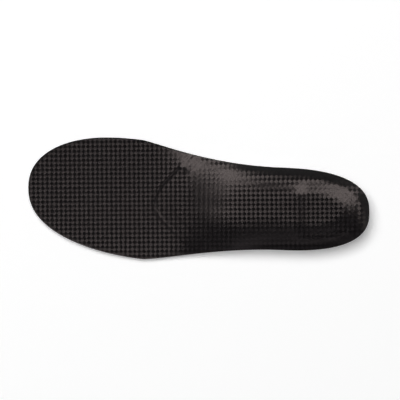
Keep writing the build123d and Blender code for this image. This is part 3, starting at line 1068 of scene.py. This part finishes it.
class ORTHOSIS_OT_forefoot(bpy.types.Operator):
    """Makes the soft extension under the toes and the lining below it"""

    bl_idname = "orthosis.forefoot"
    bl_label = "Forefoot extension and lining"

    def execute(self, context):
        finish = context.scene.orthosis_finish
        front = station(SHELL_FRONT_FROM_HEEL)
        extension = make_layer(
            "eva_extension",
            EXTENSION_INSET,
            under_cushion,
            extension_under,
            FOAM_ROUNDING,
            LAYER_ROWS,
            LAYER_COLUMNS,
            end=front + EXTENSION_LAP,
        )
        material = foam("moulded_eva", finish.eva, EXTENSION_CELL, 0.85)
        finish_piece(extension, material, "eva_foam", "forefoot_extension")
        lining = make_layer(
            "nap_lining",
            LINING_INSET,
            lining_over,
            lining_under,
            LINING_ROUNDING,
            LAYER_ROWS,
            LAYER_COLUMNS,
            end=front + LINING_LAP,
        )
        finish_piece(lining, brushed_lining(finish), "brushed_lining", "forefoot_lining")
        return {"FINISHED"}


class ORTHOSIS_OT_post(bpy.types.Operator):
    """Makes the post under the heel and its rubber grip"""

    bl_idname = "orthosis.post"
    bl_label = "Rearfoot post and grip"

    def execute(self, context):
        finish = context.scene.orthosis_finish
        lean = POST_FRONT_LEAN / POST_RIM_LEVEL
        top_level = LINING_THICKNESS + HEEL_RAISE - SETTLE
        rims = [
            heel_rim(POST_INSET, station(POST_FRONT_FROM_HEEL) + lean * z, POST_CORNER)
            for z in (top_level, GRIP_THICKNESS, 0.0)
        ]
        grip_top = level(GRIP_THICKNESS + GLUE_LINE)
        post = make_pad("eva_post", rims[0], rims[1], lining_over, grip_top, PAD_ROUNDING)
        finish_piece(post, foam("dense_eva", finish.eva, POST_CELL, 0.8), "eva_foam", "rearfoot_post")
        grip = make_pad("grip_sheet", rims[1], rims[2], level(GRIP_THICKNESS), grip_under, PAD_ROUNDING)
        finish_piece(grip, grip_rubber(finish), "grip_rubber", "post_grip")
        return {"FINISHED"}


def add_lamp(name, direction, size, power, tint):
    """A square soft lamp at LAMP_DISTANCE in a direction from the origin, facing it."""
    data = bpy.data.lights.new(name, "AREA")
    data.shape = "SQUARE"
    data.size = size
    data.energy = power
    data.color = colour(tint)[:3]
    lamp = bpy.data.objects.new(name, data)
    towards = Vector(direction).normalized()
    lamp.location = towards * LAMP_DISTANCE
    lamp.rotation_mode = "QUATERNION"
    lamp.rotation_quaternion = towards.to_track_quat("Z", "Y")
    lamp.visible_camera = False
    bpy.context.scene.collection.objects.link(lamp)
    return lamp


def make_floor(studio):
    """A matt white floor that is seen from above only. It glows a little as it is seen, and keeps shadows.

    Its underside and every shadow ray let light through, so that the fill lamp reaches the part from below.
    """
    half = studio.floor_size / 2
    mesh = bpy.data.meshes.new("studio_floor")
    z = FLOOR_LEVEL * MM
    corners = [(-half, -half, z), (half, -half, z), (half, half, z), (-half, half, z)]
    mesh.from_pydata(corners, [], [(0, 1, 2, 3)])
    floor = bpy.data.objects.new("studio_floor", mesh)
    bpy.context.scene.collection.objects.link(floor)
    material = bpy.data.materials.new("matt_white_paper")
    material.use_nodes = True
    tree = material.node_tree
    tree.nodes.clear()
    paper = add_node(tree, "ShaderNodeBsdfDiffuse", {"Color": colour(FLOOR_TINT)})
    rays = add_node(tree, "ShaderNodeLightPath")
    seen = rays.outputs["Is Camera Ray"]
    for kind in ("Is Glossy Ray", "Is Transmission Ray"):
        seen = add_node(tree, MATH, {0: seen, 1: rays.outputs[kind]}, operation="MAXIMUM")
    glow = add_node(tree, MATH, {0: seen, 1: studio.floor_glow}, operation="MULTIPLY")
    light = add_node(tree, "ShaderNodeEmission", {"Strength": glow})
    lit = add_node(tree, "ShaderNodeAddShader", {0: paper, 1: light})
    clear = add_node(tree, "ShaderNodeBsdfTransparent")
    below = add_node(tree, "ShaderNodeNewGeometry").outputs["Backfacing"]
    open_to = add_node(tree, MATH, {0: below, 1: rays.outputs["Is Shadow Ray"]}, operation="MAXIMUM")
    both = add_node(tree, "ShaderNodeMixShader", {0: open_to, 1: lit, 2: clear})
    add_node(tree, "ShaderNodeOutputMaterial", {"Surface": both})
    mesh.materials.append(material)


def make_room(studio):
    """A room that is dim overhead and pale from a little above the horizon down."""
    world = bpy.data.worlds.new("studio_room")
    bpy.context.scene.world = world
    world.use_nodes = True
    tree = world.node_tree
    tree.nodes.clear()
    direction = add_node(tree, "ShaderNodeTexCoord").outputs["Generated"]
    height = add_node(tree, "ShaderNodeSeparateXYZ", {0: direction}).outputs[2]
    strength = add_node(
        tree,
        "ShaderNodeMapRange",
        {"Value": height, 1: HORIZON_TOP, 2: CEILING_START, 3: studio.horizon, 4: studio.ceiling},
        interpolation_type="SMOOTHSTEP",
    )
    room = add_node(tree, "ShaderNodeBackground", {"Strength": strength, "Color": (1, 1, 1, 1)})
    add_node(tree, "ShaderNodeOutputWorld", {"Surface": room})


class ORTHOSIS_OT_stage(bpy.types.Operator):
    """Makes the floor, the room, the lamps and the camera"""

    bl_idname = "orthosis.stage"
    bl_label = "Studio"

    def execute(self, context):
        studio = context.scene.orthosis_studio
        make_floor(studio)
        make_room(studio)
        key = add_lamp("key_lamp", KEY_DIRECTION, KEY_SIZE, studio.key_power, WHITE)
        key.visible_glossy = False
        gloss = add_lamp("gloss_lamp", GLOSS_DIRECTION, GLOSS_SIZE, studio.gloss_power, GLOSS_TINT)
        gloss.visible_diffuse = False
        side = add_lamp("side_lamp", SIDE_DIRECTION, SIDE_SIZE, studio.side_power, SIDE_TINT)
        side.visible_diffuse = False
        fill = add_lamp("fill_lamp", FILL_DIRECTION, FILL_SIZE, studio.fill_power, WHITE)
        data = bpy.data.cameras.new("camera")
        data.lens = CAMERA_LENS
        data.clip_end = CAMERA_REACH
        camera = bpy.data.objects.new("camera", data)
        middle = (CAD_LOW + CAD_HIGH) / 2
        distance = studio.view_width * data.lens / data.sensor_width
        camera.location = middle + Vector((VIEW_X * MM, VIEW_Y * MM, distance))
        context.scene.collection.objects.link(camera)
        context.scene.camera = camera
        context.scene.view_settings.view_transform = "Standard"
        return {"FINISHED"}


class ORTHOSIS_PT_panel(bpy.types.Panel):
    """Lists the orthosis's settings and operators in the sidebar"""

    bl_idname = "ORTHOSIS_PT_panel"
    bl_label = "Foot orthosis"
    bl_space_type = "VIEW_3D"
    bl_region_type = "UI"
    bl_category = "Orthosis"

    def draw(self, context):
        layout = self.layout
        for settings in (context.scene.orthosis_finish, context.scene.orthosis_studio):
            for name in settings.__annotations__:
                layout.prop(settings, name)
        for operator in OPERATORS:
            layout.operator(operator.bl_idname)


OPERATORS = (
    ORTHOSIS_OT_cover,
    ORTHOSIS_OT_cushion,
    ORTHOSIS_OT_pads,
    ORTHOSIS_OT_shell,
    ORTHOSIS_OT_forefoot,
    ORTHOSIS_OT_post,
    ORTHOSIS_OT_stage,
)
CLASSES = (OrthosisFinish, OrthosisStudio, *OPERATORS, ORTHOSIS_PT_panel)


def register():
    for each in CLASSES:
        bpy.utils.register_class(each)
    bpy.types.Scene.orthosis_finish = bpy.props.PointerProperty(type=OrthosisFinish)
    bpy.types.Scene.orthosis_studio = bpy.props.PointerProperty(type=OrthosisStudio)


def unregister():
    del bpy.types.Scene.orthosis_studio
    del bpy.types.Scene.orthosis_finish
    for each in reversed(CLASSES):
        bpy.utils.unregister_class(each)


def main():
    register()
    bpy.ops.orthosis.cover()
    bpy.ops.orthosis.cushion()
    bpy.ops.orthosis.pads()
    bpy.ops.orthosis.shell()
    bpy.ops.orthosis.forefoot()
    bpy.ops.orthosis.post()
    bpy.ops.orthosis.stage()


if __name__ == "__main__":
    main()
